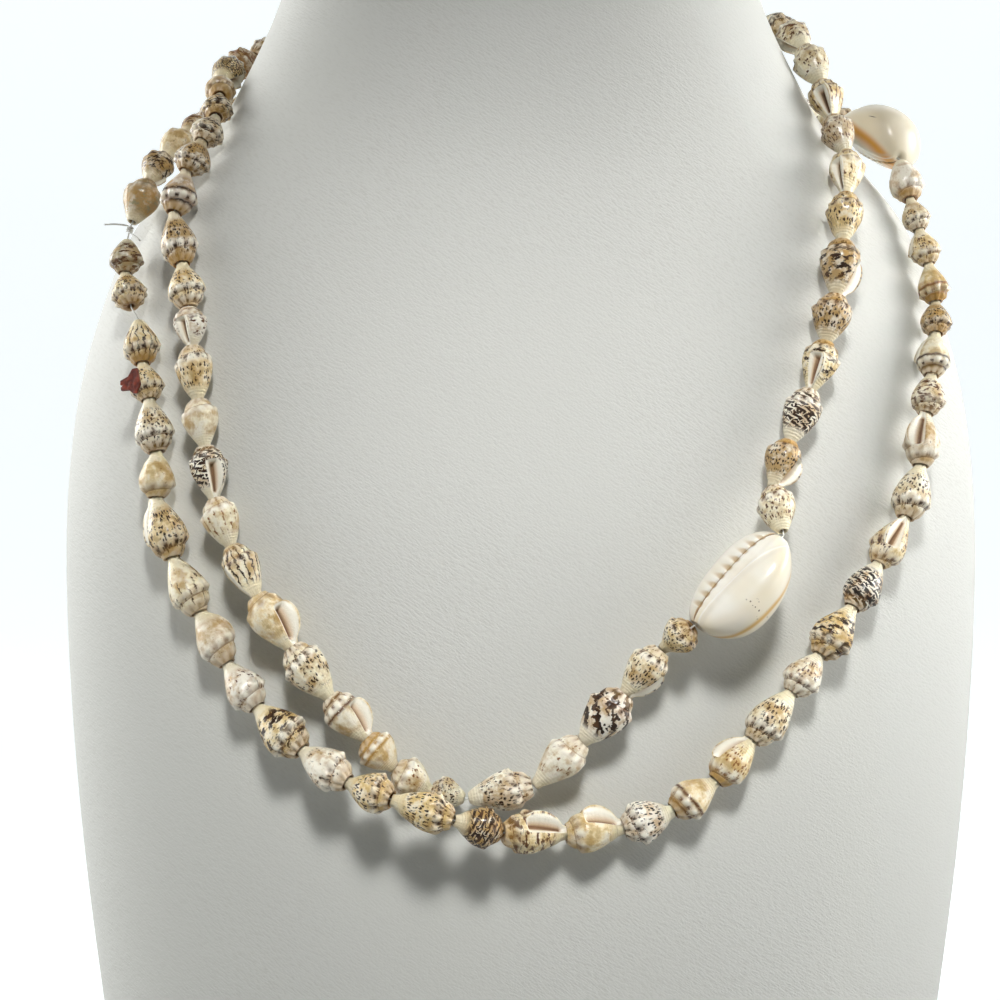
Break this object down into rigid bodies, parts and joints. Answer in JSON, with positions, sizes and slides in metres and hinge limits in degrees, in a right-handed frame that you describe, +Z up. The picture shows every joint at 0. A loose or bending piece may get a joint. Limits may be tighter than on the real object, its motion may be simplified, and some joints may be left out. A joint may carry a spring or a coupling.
{
  "type": "layered shell necklace on a neck bust",
  "caption": "Long strand of small drilled sea shells with ring cowries, wound in two layers round a plain white leatherette neck bust.",
  "frame": {"origin": "centre of the bust's flat underside", "axes": "+Z up along the neck, -Y towards the front of the bust, +X to the viewer's right"},
  "size_m": [0.199, 0.127, 0.308],
  "materials": {
    "leatherette": "satin, fine grain",
    "nylon": "clear",
    "small_shell": "satin",
    "cowrie_shell": "polished",
    "red_chip": "matt"
  },
  "bodies": {
    "root": {"bust": "leatherette", "thread": "nylon", "knot": "nylon", "inner_shells": "small_shell", "outer_shells": "small_shell", "front_cowrie": "cowrie_shell", "shoulder_cowrie": "cowrie_shell", "red_chip": "red_chip"}
  },
  "joints": []
}
